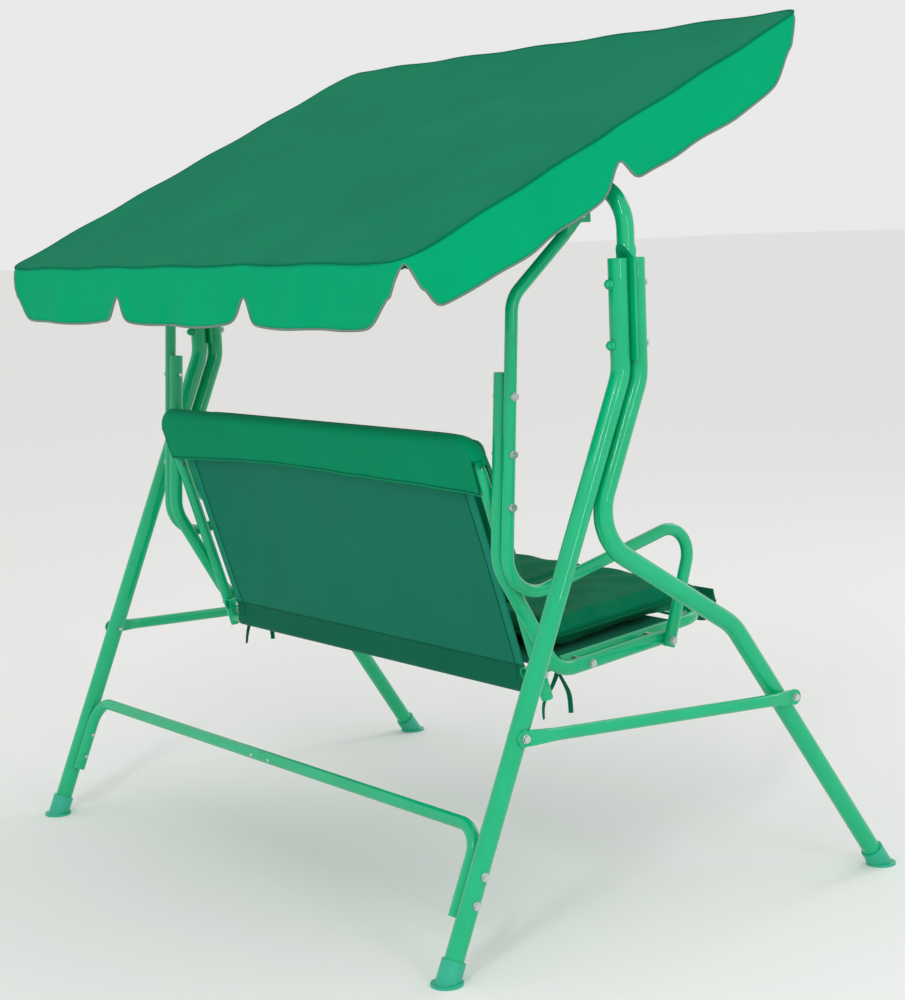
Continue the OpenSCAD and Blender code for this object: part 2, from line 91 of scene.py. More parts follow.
# one node: its settings by socket name, and its links as (socket, other node, other socket)
def addNode(tree, kind, settings=None, links=(), **props):
    node = tree.nodes.new(kind)
    for key, value in props.items():
        setattr(node, key, value)
    for key, value in (settings or {}).items():
        node.inputs[key].default_value = value
    for socket, other, out in links:
        tree.links.new(other.outputs[out], node.inputs[socket])
    return node


# a material with one principled shader, set up from its socket names
def newMaterial(name, settings):
    mat = bpy.data.materials.new(name)
    mat.use_nodes = True
    tree = mat.node_tree
    tree.nodes.clear()
    shader = addNode(tree, "ShaderNodeBsdfPrincipled", settings)
    addNode(tree, "ShaderNodeOutputMaterial", links=[("Surface", shader, "BSDF")])
    return mat, tree, shader


# a colour that goes from dark to light with a factor
def colourMix(tree, factor, socket, dark, light):
    mix = addNode(tree, "ShaderNodeMix", data_type="RGBA")
    mix.inputs["A"].default_value = hexColour(dark)
    mix.inputs["B"].default_value = hexColour(light)
    tree.links.new(factor.outputs[socket], mix.inputs["Factor"])
    return mix


# gloss enamel powder-coated on steel tube: hard long highlights and a faint orange peel of 2 mm
def powderCoat():
    mat, tree, shader = newMaterial("gloss powder-coated steel", {
        "Roughness": 0.3, "IOR": 1.5, "Specular IOR Level": 0.05, "Coat Weight": 0.8,
        "Coat Roughness": 0.03})
    coord = addNode(tree, "ShaderNodeTexCoord")
    cloud = addNode(tree, "ShaderNodeTexNoise", {"Scale": 9, "Detail": 3}, [("Vector", coord, "Object")])
    mix = colourMix(tree, cloud, "Fac", "#03ab72", "#08c388")
    tree.links.new(mix.outputs["Result"], shader.inputs["Base Color"])
    peel = addNode(tree, "ShaderNodeTexNoise", {"Scale": 420, "Detail": 1},
                   [("Vector", coord, "Object")])
    bump = addNode(tree, "ShaderNodeBump", {"Strength": 0.05, "Distance": 0.0004},
                   [("Height", peel, "Fac")])
    tree.links.new(bump.outputs["Normal"], shader.inputs["Normal"])
    return mat


# zinc-plated steel: bright grey, with soft spangle of 3 mm in its roughness
def zincPlate():
    mat, tree, shader = newMaterial("zinc-plated steel", {"Metallic": 1})
    coord = addNode(tree, "ShaderNodeTexCoord")
    grain = addNode(tree, "ShaderNodeTexNoise", {"Scale": 330, "Detail": 3},
                    [("Vector", coord, "Object")])
    mix = colourMix(tree, grain, "Fac", "#b9bec2", "#e6e9eb")
    tree.links.new(mix.outputs["Result"], shader.inputs["Base Color"])
    rough = addNode(tree, "ShaderNodeMapRange", {"To Min": 0.22, "To Max": 0.42},
                    [("Value", grain, "Fac")])
    tree.links.new(rough.outputs["Result"], shader.inputs["Roughness"])
    return mat


# moulded polypropylene or nylon: satin, with a spark-eroded grain of about 1 mm
def mouldedPlastic(name, dark, light, roughness):
    mat, tree, shader = newMaterial(name, {"Roughness": roughness, "IOR": 1.49})
    coord = addNode(tree, "ShaderNodeTexCoord")
    cloud = addNode(tree, "ShaderNodeTexNoise", {"Scale": 30}, [("Vector", coord, "Object")])
    mix = colourMix(tree, cloud, "Fac", dark, light)
    tree.links.new(mix.outputs["Result"], shader.inputs["Base Color"])
    grain = addNode(tree, "ShaderNodeTexNoise", {"Scale": 900, "Detail": 2},
                    [("Vector", coord, "Object")])
    bump = addNode(tree, "ShaderNodeBump", {"Strength": 0.15, "Distance": 0.0003},
                   [("Height", grain, "Fac")])
    tree.links.new(bump.outputs["Normal"], shader.inputs["Normal"])
    return mat


# woven polyester: two thread directions, drawn at 2.5 mm because the real thread is too fine to show,
# and faded in soft patches; shade (0 to 1) on the mesh picks the darker or the lighter colour, which on
# the canopy is painted light: its valance is painted lighter than its top, as light through it would
# make it
def wovenCloth(name, dark, light, thread=0.0025, roughness=0.78, sheen=0.25):
    mat, tree, shader = newMaterial(name, {
        "Roughness": roughness, "Specular IOR Level": 0.05, "Sheen Weight": sheen,
        "Sheen Roughness": 0.5, "IOR": 1.45})
    uv = addNode(tree, "ShaderNodeUVMap", uv_map="cloth")
    turns = math.pi / thread / 10  # wave texture repeats per metre of cloth
    waves = [addNode(tree, "ShaderNodeTexWave", {"Scale": turns, "Distortion": 0.4, "Detail": 1},
             [("Vector", uv, "UV")], bands_direction=way) for way in ("X", "Y")]
    weave = addNode(tree, "ShaderNodeMath", links=[(0, waves[0], "Fac"), (1, waves[1], "Fac")],
                    operation="MULTIPLY")
    coord = addNode(tree, "ShaderNodeTexCoord")
    fade = addNode(tree, "ShaderNodeTexNoise", {"Scale": 5, "Detail": 5},
                   [("Vector", coord, "Object")])
    shade = addNode(tree, "ShaderNodeAttribute", attribute_name="shade")
    spread = addNode(tree, "ShaderNodeMath", {1: 0.22}, [(0, fade, "Fac")], operation="MULTIPLY")
    total = addNode(tree, "ShaderNodeMath", links=[(0, spread, 0), (1, shade, "Fac")], operation="ADD")
    mix = colourMix(tree, total, 0, dark, light)
    tree.links.new(mix.outputs["Result"], shader.inputs["Base Color"])
    bump = addNode(tree, "ShaderNodeBump", {"Strength": 0.35, "Distance": 0.0004},
                   [("Height", weave, 0)])
    tree.links.new(bump.outputs["Normal"], shader.inputs["Normal"])
    return mat


greenCoat = powderCoat()
zinc = zincPlate()
footPlastic = mouldedPlastic("moulded polypropylene", "#1da583", "#2bbf99", 0.42)
nylon = mouldedPlastic("natural nylon", "#d9d8d0", "#e8e7e0", 0.4)
knobPlastic = mouldedPlastic("black moulded nylon", "#0c0d0d", "#17191a", 0.5)
canopyCloth = wovenCloth("woven polyester canopy cloth", "#006b4f", "#00b379", sheen=0.01)
cushionCloth = wovenCloth("woven polyester cushion cloth", "#006447", "#009f6e", sheen=0.02)
slingCloth = wovenCloth("vinyl-coated polyester sling", "#015f45", "#168d72", thread=0.004,
                        roughness=0.55, sheen=0.03)
pipingCloth = wovenCloth("braided polyester piping", "#6f8378", "#97a79c", thread=0.0015)

slotMaterial = {"green_paint": greenCoat, "zinc_steel": zinc, "foot_plastic": footPlastic,
                "nylon": nylon, "knob_plastic": knobPlastic}
for part in frame["record"]["subparts"]:
    node = frame["nodes"][part["node"]]
    mat = slotMaterial.get(part["material_slot"])
    if mat:
        node.data.materials.clear()
        node.data.materials.append(mat)
print("frame painted")


# a mesh from a grid of points: points is rows x columns x 3, uv is rows x columns x 2 in metres of
# cloth, and closed joins the last column to the first
def gridMesh(name, points, uv, shade=None, closed=False):
    rows, cols = points.shape[:2]
    r = np.arange(rows - 1)[:, None]
    c = np.arange(cols if closed else cols - 1)[None, :]
    n = (c + 1) % cols
    quads = np.stack([r * cols + c, r * cols + n, (r + 1) * cols + n, (r + 1) * cols + c], -1)
    quads = quads.reshape(-1, 4)
    mesh = bpy.data.meshes.new(name)
    mesh.from_pydata(points.reshape(-1, 3).tolist(), [], quads.tolist())
    layer = mesh.uv_layers.new(name="cloth")
    layer.data.foreach_set("uv", uv.reshape(-1, 2)[quads.reshape(-1)].reshape(-1).astype(np.float32))
    tone = np.zeros(rows * cols) if shade is None else shade.reshape(-1)
    mesh.attributes.new("shade", "FLOAT", "POINT").data.foreach_set("value", tone.astype(np.float32))
    mesh.polygons.foreach_set("use_smooth", np.ones(len(mesh.polygons), bool))
    obj = bpy.data.objects.new(name, mesh)
    bpy.context.scene.collection.objects.link(obj)
    return obj


# gives a sheet its thickness, half on each side
def solidify(obj, thickness):
    mod = obj.modifiers.new("thickness", "SOLIDIFY")
    mod.thickness = thickness
    mod.offset = 0


# a round tube carried along a path: each ring lies across the path's direction
def pathTube(name, path, radius, sides=8, closed=False):
    ahead = np.roll(path, -1, 0) - np.roll(path, 1, 0)
    if not closed:
        ahead[0], ahead[-1] = path[1] - path[0], path[-1] - path[-2]
    ahead = ahead / np.linalg.norm(ahead, axis=1, keepdims=True)
    side = np.cross(ahead, np.array([0.31, 0.17, 0.93]))  # a direction that no path follows
    side = side / np.linalg.norm(side, axis=1, keepdims=True)
    up = np.cross(side, ahead)
    t = np.linspace(0, 2 * np.pi, sides, endpoint=False)
    ring = side[:, None] * np.cos(t)[None, :, None] + up[:, None] * np.sin(t)[None, :, None]
    points = path[:, None] + ring * radius
    if closed:
        points = np.concatenate([points, points[:1]])
    run = np.linspace(0, 1, len(points))[:, None] * np.ones((1, sides))
    around = np.ones((len(points), 1)) * t[None, :] * radius
    uv = np.stack([run * len(points) * 0.01, around], -1)
    obj = gridMesh(name, points, uv, closed=True)
    if not closed:
        last = (len(points) - 1) * sides
        addCap(obj.data, list(range(sides))[::-1])
        addCap(obj.data, list(range(last, last + sides)))
    fixNormals(obj)
    return obj


# closes a ring of points with one face
def addCap(mesh, face):
    bm = bmesh.new()
    bm.from_mesh(mesh)
    bm.verts.ensure_lookup_table()
    bm.faces.new([bm.verts[i] for i in face])
    bm.to_mesh(mesh)
    bm.free()


# joins doubled points and turns every face outward
def fixNormals(obj):
    bm = bmesh.new()
    bm.from_mesh(obj.data)
    bmesh.ops.remove_doubles(bm, verts=bm.verts, dist=1e-6)
    bmesh.ops.recalc_face_normals(bm, faces=bm.faces)
    bm.to_mesh(obj.data)
    bm.free()


canopy = {
    "corner": 0.034,  # radius of the plan's corners
    "inside": 0.0015,  # the cloth's middle lies this far inside its solid
    "rearRise": 0.0027,  # the rear fold above the solid's foot
    "frontFall": 0.0005,  # the front fold below the solid's top
    "sag": 0.012,
    "valance": 0.122,
    "around": 560,  # columns round the edge
    "inward": 44,  # rows from the middle to the edge
    "crowd": 0.8,  # below 1, the rows lie closer together at the edge
    "down": 16,  # rows of the valance
    "thick": 0.0012,
    "lobes": (3, 2),  # scallops along the width and along the depth
    "rounding": 0.10,  # share of its depth that a scallop loses at its ends
    "notch": 0.026,  # half width of the cut between two scallops
    "notchCut": 0.42,  # share of the depth that a notch takes
    "noNotch": 0.1,  # no notch nearer than this to a corner
    "cornerRun": 0.03,  # the depth narrows over this length on both sides of a corner
    "cornerCut": 0.43,
    "cornerDepth": 0.07,  # share of the depth left in the middle of a corner
    "cornerGain": 0.44,
    "foldWave": (0.06, 23, 0.0016),  # run, waves per metre over 2 pi, height
    "sideWave": (0.05, 31, 0.0012),
    "flare": 0.010,  # how far the valance's foot hangs out
    "flareBend": 1.4,
    "swings": ((0.0060, 0.31, 0.6), (0.0030, 0.137, 0)),  # height, length and phase of its waves
    # painted light: a darker top and a valance painted lighter, for light through the cloth and its
    # sheen
    "paintedLightLevels": (0.08, 0.72),  # top and valance
    "pipe": 0.0022,  # radii of the piping and of the seam
    "seam": 0.0018,
}


# half the width, and the middles of the rear and the front fold, from the solid's box
def canopyPlane(c):
    low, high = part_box("canopy_sheet")
    half = high.x - c["inside"]
    rear = Vector((0, high.y - c["inside"], low.z + c["rearRise"]))
    front = Vector((0, low.y + c["inside"], high.z - c["frontFall"]))
    return half, rear, front


# The top is a stack of rounded rectangles from the middle to the edge, and it sags as a parabola
# across and a fourth power along. The valance goes on down from the last rectangle. Its depth is
# one, less a cube towards the ends of each scallop, less a bell curve at each notch and at each
# corner. Round a corner it falls to a small share in the middle.
def makeCanopy(c):
    half, rear, front = canopyPlane(c)
    slope = front - rear
    length = slope.length
    down = slope / length
    middle = (rear + front) / 2
    a, b, r = half, length / 2, c["corner"]
    sides = np.array([2 * (a - r), 2 * (b - r)])
    arc = r * np.pi / 2
    total = 2 * sides.sum() + 4 * arc
    s = np.linspace(0, total, c["around"], endpoint=False)
    edge = np.zeros((len(s), 2))
    lobe = np.ones(len(s))
    outward = np.zeros((len(s), 2))
    start = 0.0
    for k in range(4):  # four sides, each with the corner that follows it
        way = np.array([(1, 0), (0, 1), (-1, 0), (0, -1)][k], float)
        out = np.array([(0, -1), (1, 0), (0, 1), (-1, 0)][k], float)
        run = sides[k % 2]
        reach = (b, a, b, a)[k]
        m = (s >= start) & (s < start + run)
        t = s[m] - start
        edge[m] = out * reach + way * (t - run / 2)[:, None]
        outward[m] = out
        q = (t / run * c["lobes"][k % 2]) % 1
        inner = np.minimum(np.abs(q), np.abs(1 - q)) * run / c["lobes"][k % 2]  # to a notch
        ends = np.minimum(t, run - t)
        notch = np.exp(-(inner / c["notch"]) ** 2) * (ends > c["noNotch"])
        lobe[m] = (1 - c["rounding"] * np.abs(2 * q - 1) ** 3) * (1 - c["notchCut"] * notch)
        lobe[m] *= 1 - c["cornerCut"] * np.exp(-(ends / c["cornerRun"]) ** 2)
        start += run
        m = (s >= start) & (s < start + arc)
        turn = (s[m] - start) / r
        outward[m] = out * np.cos(turn)[:, None] + way * np.sin(turn)[:, None]
        edge[m] = out * (reach - r) + way * (run / 2) + outward[m] * r
        lobe[m] = c["cornerDepth"] + c["cornerGain"] * np.abs(turn / (np.pi / 4) - 1) ** 1.5
        start += arc
    ratio = np.linspace(0, 1, c["inward"] + 1) ** c["crowd"]
    flat = edge[None] * ratio[:, None, None]
    u, v = flat[..., 0] / a, flat[..., 1] / b
    reach, rate, height = c["foldWave"]
    edgeDip = np.exp(-((1 - np.abs(v)) / reach) ** 2) * np.sin(flat[..., 0] * rate + 0.7) * height
    reach, rate, height = c["sideWave"]
    pucker = np.exp(-((1 - np.abs(u)) / reach) ** 2) * np.sin(flat[..., 1] * rate) * height
    lift = -c["sag"] * (1 - u ** 2) * (1 - v ** 4) + edgeDip + pucker
    dirY, normal = np.array(down), np.array(Vector((1, 0, 0)).cross(down))
    normal = normal if normal[2] > 0 else -normal
    sheet = (np.array(middle) + flat[..., :1] * np.array([1, 0, 0]) + flat[..., 1:] * dirY
             + lift[..., None] * normal)
    drop = np.linspace(0, 1, c["down"] + 1)[1:]
    out3 = outward[:, :1] * np.array([1, 0, 0]) + outward[:, 1:] * np.array([0, -1, 0])
    wave = sum(high * np.sin(s * 2 * np.pi / long + phase) for high, long, phase in c["swings"])
    swing = (drop ** c["flareBend"])[:, None] * ((wave + c["flare"]) * lobe)[None]
    skirt = (sheet[-1][None] + out3[None] * swing[..., None]
             - np.array([0, 0, 1]) * (drop[:, None] * lobe[None] * c["valance"])[..., None])
    points = np.concatenate([sheet, skirt])
    skirtFlat = edge[None] + outward[None] * (drop[:, None] * lobe[None] * c["valance"])[..., None]
    uv = np.concatenate([flat, skirtFlat])
    # painted light: the top gets the darker level and the valance is painted lighter; the cloth is one
    # colour
    top, side = c["paintedLightLevels"]
    shade = np.concatenate([np.full(sheet.shape[:2], top), np.full(skirt.shape[:2], side)])
    obj = gridMesh("canopy_cover", points, uv, shade, closed=True)
    fixNormals(obj)
    ribs = np.cross(np.diff(points, axis=0), np.roll(points, -1, 1)[:-1] - points[:-1])
    area = float(np.linalg.norm(ribs, axis=-1).sum())
    solidify(obj, c["thick"])
    obj.data.materials.append(canopyCloth)
    piping = pathTube("valance_piping", skirt[-1], c["pipe"], closed=True)
    piping.data.materials.append(pipingCloth)
    seam = pathTube("canopy_edge_seam", sheet[-1], c["seam"], closed=True)
    seam.data.materials.append(canopyCloth)
    width, cut = 2 * (a + c["valance"]), 2 * (b + c["valance"])
    return obj, [piping, seam], (width, cut), min(area, width * cut)


cover, coverTrim, coverFlat, coverArea = makeCanopy(canopy)
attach(cover, "canopy")
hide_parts("canopy_sheet", "canopy_valance")
for trim in coverTrim:
    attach(trim, "canopy")
print("canopy made", round(coverArea, 3), "m2")


backSlope = 0.3086  # of the backrest in the CAD, backwards over upwards
clothInside = 0.0015  # a cloth's middle lies this far inside its solid


# the backrest's own directions, up along the back and behind it, with its sling's foot and half width
def backDirections():
    low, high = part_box("back_sling")
    lean = math.atan(backSlope)
    up = np.array([0, math.sin(lean), math.cos(lean)])
    behind = np.array([0, math.cos(lean), -math.sin(lean)])
    foot = np.array([0, low.y + clothInside, low.z])
    return foot, up, behind, high.x


sling = {
    "bow": 0.010,
    "hem": 0.026,
    "thick": 0.0016,
    "columns": 160,
    "rows": 90,
    "rise": 0.43,  # length up the back
    "wrap": (250, 22),  # degrees round the cross tube, and its rows
    "joined": (8, 3),  # rows between the wrap and the straight run, and where that run starts
    "ripple": (0.0012, 21),
    "band": 0.012,  # the dark band reaches this far past the wrap
    "seam": 0.0009,
    "proud": 0.0012,  # how far a seam lies behind the cloth's middle
}


# A sheet up the back that bows forward as half a sine between its hems. Its foot rolls round the low
# cross tube in an arc, and a straight join leads from the arc to the back.
def makeBackSling(c):
    foot, up, behind, half = backDirections()
    low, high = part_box("back_cross_tube")
    tube = np.array([0, (low.y + high.y) / 2, (low.z + high.z) / 2])
    r = (high.z - low.z) / 2 + clothInside
    x = np.linspace(-half, half, c["columns"])
    rise = np.linspace(0.0, c["rise"], c["rows"])
    flatRun = foot[None] + up * rise[:, None]
    turn = np.radians(np.linspace(c["wrap"][0], 0, c["wrap"][1]))
    roll = tube[None] + r * (behind * np.cos(turn)[:, None] - up * np.sin(turn)[:, None])
    bottom = roll[-1]
    steps, first = c["joined"]
    join = np.linspace(0, 1, steps)[1:-1, None]
    start = flatRun[first]
    profile = np.concatenate([roll, bottom + (start - bottom) * join, flatRun[first:]])
    tied = len(roll) + len(join)  # the row where the straight run begins
    along = np.concatenate([[0], np.cumsum(np.linalg.norm(np.diff(profile, axis=0), axis=1))])
    free = np.clip((along - along[tied]) / (along[-1] - along[tied]), 0, 1)
    bow = np.sin(np.pi * free)[:, None] * (1 - (x / half) ** 2)[None] * c["bow"]
    height, rate = c["ripple"]
    ripple = height * np.sin(x * rate)[None] * np.sin(np.pi * free)[:, None]
    points = (profile[:, None] + x[None, :, None] * np.array([1, 0, 0])
              - behind * (bow + ripple)[..., None])
    hemmed = (np.abs(x) > half - c["hem"])[None] * np.ones((len(profile), 1))
    band = (along < along[tied] + c["band"])[:, None] * np.ones((1, len(x)))
    shade = np.where(band > 0, 0.05, 0.4 + 0.35 * hemmed)
    uv = np.stack(np.broadcast_arrays(x[None], along[:, None]), -1)
    obj = gridMesh("back_sling_cloth", points, uv, shade)
    fixNormals(obj)
    solidify(obj, c["thick"])
    obj.data.materials.append(slingCloth)
    seams = []
    for column, name in ((4, "right"), (-5, "left")):
        path = points[tied - 4:, column] + behind * c["proud"]
        seams.append(pathTube("sling_hem_seam_" + name, path, c["seam"], sides=6))
    path = points[tied + 2, 2:-2] + behind * c["proud"]
    seams.append(pathTube("sling_band_seam", path, c["seam"], sides=6))
    for seam in seams:
        seam.data.materials.append(slingCloth)
    return obj, seams, (2 * half, float(along[-1]))


backCloth, backSeams, backFlat = makeBackSling(sling)
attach(backCloth, "seat")
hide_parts("back_sling")
for seam in backSeams:
    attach(seam, "seat")

seatSheet = {"sag": 0.008, "thick": 0.0016, "columns": 120, "rows": 60, "shade": 0.4}


# A sheet between the seat rails that sags as a parabola both ways
def makeSeatSling(c):
    low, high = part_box("seat_sling")
    x = np.linspace(low.x, high.x, c["columns"])
    y = np.linspace(low.y, high.y, c["rows"])
    slope = np.interp(y, [low.y, high.y], [high.z - clothInside, low.z + clothInside])
    u, v = x / high.x, (2 * y - low.y - high.y) / (high.y - low.y)
    z = slope[:, None] - c["sag"] * (1 - u ** 2)[None] * (1 - v ** 2)[:, None]
    points = np.stack(np.broadcast_arrays(x[None], y[:, None], z), -1)
    obj = gridMesh("seat_sling_cloth", points, points[..., :2], np.full(z.shape, c["shade"]))
    fixNormals(obj)
    solidify(obj, c["thick"])
    obj.data.materials.append(slingCloth)
    return obj, (high.x - low.x, math.hypot(high.y - low.y, high.z - low.z))


seatCloth, seatFlat = makeSeatSling(seatSheet)
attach(seatCloth, "seat")
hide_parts("seat_sling")
print("slings made")

hood = {
    "columns": 150,
    "rows": 46,
    "tube": 0.0125,  # radius of the top tube
    "inside": 0.001,
    "crowd": 1.6,  # above 1, the columns lie closer together at the ends
    "deep": 0.0155,  # half depth over the tube
    "least": 0.0006,  # half depth where the ends close
    "closing": 0.024,  # length over which an end closes
    "above": 0.0160,  # top above the tube's middle
    "round": 0.06,
    "thick": 0.0016,
    "drop": 0.105,
    "scoop": 0.016,
    "endDrop": 0.03,
    "endWide": 0.012,
    "legs": 0.36,  # share of the rows on each straight side
    "crease": (0.0012, 37, 0.05),  # height, waves per metre over 2 pi, reach up from the foot
    "length": 0.27,  # of cloth, up, over and down again
    "shade": 0.62,
    "seam": 0.001,
    "proud": 0.0012,
}


# A pocket over the top tube: an upside-down U carried across the back. Its half depth closes as a
# fourth-power curve at both ends, its top falls away as an arc round the corners, and its foot is
# scooped as half a cosine.
def makeHood(c):
    _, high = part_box("back_hood")
    foot, up, behind, _ = backDirections()
    _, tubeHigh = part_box("back_frame")
    topZ = tubeHigh.z - c["tube"]
    onBack = foot + up * ((topZ - foot[2]) / up[2])
    end = high.x - c["inside"]
    x = np.linspace(-1, 1, c["columns"])
    x = end * np.sign(x) * (1 - (1 - np.abs(x)) ** c["crowd"])
    edge = np.clip((np.abs(x) - (end - c["closing"])) / c["closing"], 0, 1)
    deep = c["deep"] * (1 - edge ** 4) ** 0.25 + c["least"]
    corner = np.clip((np.abs(x) - (end - c["round"])) / c["round"], 0, 1)
    arc = np.sqrt(np.maximum(c["round"] ** 2 - (corner * c["round"]) ** 2, 0))
    top = c["above"] - (c["round"] - arc)
    drop = -c["drop"] + c["scoop"] * np.cos(x / end * np.pi / 2) + 0.002 * np.sin(x * 9)
    drop = np.where(np.abs(x) > end - c["endWide"], np.maximum(drop, -c["endDrop"]), drop)
    t = np.linspace(0, 1, c["rows"])
    leg = c["legs"]
    rising, over = np.clip(t / leg, 0, 1), np.clip((t - leg) / (1 - 2 * leg), 0, 1)
    falling = np.clip((t - 1 + leg) / leg, 0, 1)
    angle = np.pi * over
    crown = top[None] - deep[None]
    z = np.where(t[:, None] < leg, drop + (crown - drop) * rising[:, None],
                 np.where(t[:, None] > 1 - leg, crown + (drop - crown) * falling[:, None],
                          crown + deep[None] * np.sin(angle)[:, None]))
    n = deep[None] * np.cos(angle)[:, None]
    height, rate, reach = c["crease"]
    crease = height * np.sin(x * rate)[None] * np.exp(-((z - drop) / reach) ** 2)
    points = (onBack + x[None, :, None] * np.array([1, 0, 0]) + up * z[..., None]
              + behind * (n + crease)[..., None])
    run = np.broadcast_to(t[:, None] * c["length"], z.shape)
    uv = np.stack([np.broadcast_to(x[None], z.shape), run], -1)
    obj = gridMesh("back_hood_cloth", points, uv, np.full(z.shape, c["shade"]))
    fixNormals(obj)
    solidify(obj, c["thick"])
    obj.data.materials.append(cushionCloth)
    hem = pathTube("hood_hem_seam", points[1] + behind * c["proud"], c["seam"], sides=6)
    hem.data.materials.append(cushionCloth)
    return obj, [hem], (2 * end, c["length"])


hoodCloth, hoodTrim, hoodFlat = makeHood(hood)
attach(hoodCloth, "seat")
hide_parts("back_hood")
for trim in hoodTrim:
    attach(trim, "seat")
print("hood made")

cushion = {
    "voxel": 0.006,
    "pressure": 4,
    "frames": 20,
    "quality": 4,
    "cap": 0.014,  # how far the pressure may move a point
    "inset": 0.010,  # the pad starts this much smaller all round, and swells
    "thin": 0.008,  # and this much thinner on each face
    "flat": 0.001,  # half thickness that the rounded sides leave flat
    "cuts": 40,
    "channel": (0.010, 0.03, 0.9),  # depth, half width and length of a sewn channel, as shares
    "pucker": (0.8, 0.12, 95),  # height in wrinkles, reach, waves per metre over 2 pi
    "wrinkle": 0.0016,
    "shade": 0.18,
    "square": 0.12,  # power of the rim's curve, squarer towards 0
    "piping": 0.0028,
    "proud": 0.001,  # the piping outside the pad's half size
}


# Swells a closed mesh with cloth pressure and keeps every point within the cap of where it began
def swell(obj, c):
    before = np.zeros(len(obj.data.vertices) * 3)
    obj.data.vertices.foreach_get("co", before)
    mod = obj.modifiers.new("cloth", "CLOTH")
    mod.settings.use_pressure = True
    mod.settings.uniform_pressure_force = c["pressure"]
    mod.settings.effector_weights.gravity = 0
    mod.settings.quality = c["quality"]
    mod.point_cache.frame_start, mod.point_cache.frame_end = 1, c["frames"]
    scene = bpy.context.scene
    for f in range(1, c["frames"] + 1):
        scene.frame_set(f)
    shape = obj.evaluated_get(bpy.context.evaluated_depsgraph_get()).to_mesh()
    after = np.zeros_like(before)
    shape.vertices.foreach_get("co", after)
    obj.modifiers.remove(mod)
    scene.frame_set(1)
    move = (after - before).reshape(-1, 3)
    far = np.linalg.norm(move, axis=1, keepdims=True)
    move *= np.minimum(1, c["cap"] / np.maximum(far, 1e-9))
    obj.data.vertices.foreach_set("co", (before.reshape(-1, 3) + move).reshape(-1))
    obj.data.update()


# A pad from its centre, half sizes and three directions. It begins as a rounded box: a box shrunk by
# its corner radius, with every point pushed out by that radius. It is remeshed and swelled, its sewn
# channels are pressed in as bell curves, and a line round it, a power of cosine and sine, is piped.
def makePad(name, centre, half, axes, panels, c):
    radius = min(half) - c["flat"]
    core = np.array(half) - radius
    bm = bmesh.new()
    bmesh.ops.create_cube(bm, size=2)
    bmesh.ops.subdivide_edges(bm, edges=bm.edges[:], cuts=c["cuts"], use_grid_fill=True)
    mesh = bpy.data.meshes.new(name)
    bm.to_mesh(mesh)
    bm.free()
    co = np.zeros(len(mesh.vertices) * 3)
    mesh.vertices.foreach_get("co", co)
    co = co.reshape(-1, 3) * np.array(half)
    inner = np.clip(co, -core, core)
    gap = co - inner
    length = np.linalg.norm(gap, axis=1, keepdims=True)
    co = inner + gap / np.maximum(length, 1e-9) * np.minimum(length, radius)
    mesh.vertices.foreach_set("co", co.reshape(-1))
    obj = bpy.data.objects.new(name, mesh)
    bpy.context.scene.collection.objects.link(obj)
    mod = obj.modifiers.new("remesh", "REMESH")
    mod.mode, mod.voxel_size = "VOXEL", c["voxel"]
    bpy.context.view_layer.objects.active = obj
    obj.select_set(True)
    bpy.ops.object.modifier_apply(modifier=mod.name)
    obj.select_set(False)
    swell(obj, c)
    count = len(obj.data.vertices)
    co = np.zeros(count * 3)
    obj.data.vertices.foreach_get("co", co)
    co = co.reshape(-1, 3)
    u, v, w = (co / np.array(half)).T
    face = np.sign(w) * np.clip(np.abs(w) * 1.4 - 0.2, 0, 1)
    fromSeam = np.abs(((u + 1) * panels / 2 + 0.5) % 1 - 0.5)
    depth, wide, ends = c["channel"]
    channel = np.exp(-(fromSeam / wide) ** 2) * (np.abs(u) < ends)
    high, reach, rate = c["pucker"]
    pucker = np.exp(-fromSeam / reach) * np.sin(co[:, 1] * rate)
    co[:, 2] -= face * channel * depth * (1 - v ** 6)
    fold = (np.sin(co[:, 0] * 41 + 3 * np.sin(co[:, 1] * 17))
            + 0.6 * np.sin(co[:, 1] * 63 + 5 * np.sin(co[:, 0] * 11)))
    co[:, 2] += face * (fold + high * pucker) * c["wrinkle"]
    world = np.array(centre) + co @ np.array(axes)
    obj.data.vertices.foreach_set("co", world.reshape(-1))
    uvLayer = obj.data.uv_layers.new(name="cloth")
    index = np.zeros(len(obj.data.loops), int)
    obj.data.loops.foreach_get("vertex_index", index)
    uvLayer.data.foreach_set("uv", co[index][:, :2].reshape(-1).astype(np.float32))
    obj.data.attributes.new("shade", "FLOAT", "POINT").data.foreach_set(
        "value", np.full(count, c["shade"], np.float32))
    obj.data.polygons.foreach_set("use_smooth", np.ones(len(obj.data.polygons), bool))
    obj.data.materials.append(cushionCloth)
    rim = np.linspace(0, 2 * np.pi, 240, endpoint=False)
    ex = np.sign(np.cos(rim)) * np.abs(np.cos(rim)) ** c["square"] * (half[0] + c["proud"])
    ey = np.sign(np.sin(rim)) * np.abs(np.sin(rim)) ** c["square"] * (half[1] + c["proud"])
    line = np.array(centre) + np.stack([ex, ey, 0 * ex], -1) @ np.array(axes)
    piping = pathTube(name + "_piping", line, c["piping"], closed=True)
    piping.data.materials.append(cushionCloth)
    return obj, piping


# A leaning pad's box spans its length and its thickness, each turned by the lean, so the box's two
# spans give the length
def placePad(name, node, thickness, axes, panels):
    low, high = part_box(node)
    centre = [(a + b) / 2 for a, b in zip(low, high)]
    up = axes[1]
    spanY, spanZ = high.y - low.y, high.z - low.z
    det = abs(up[1]) ** 2 - abs(up[2]) ** 2
    length = (spanY * abs(up[1]) - spanZ * abs(up[2])) / det
    half = (high.x - cushion["inset"], length / 2 - cushion["inset"], thickness / 2 - cushion["thin"])
    pad, piping = makePad(name, centre, half, axes, panels, cushion)
    for piece in (pad, piping):
        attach(piece, "seat")
    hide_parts(node)


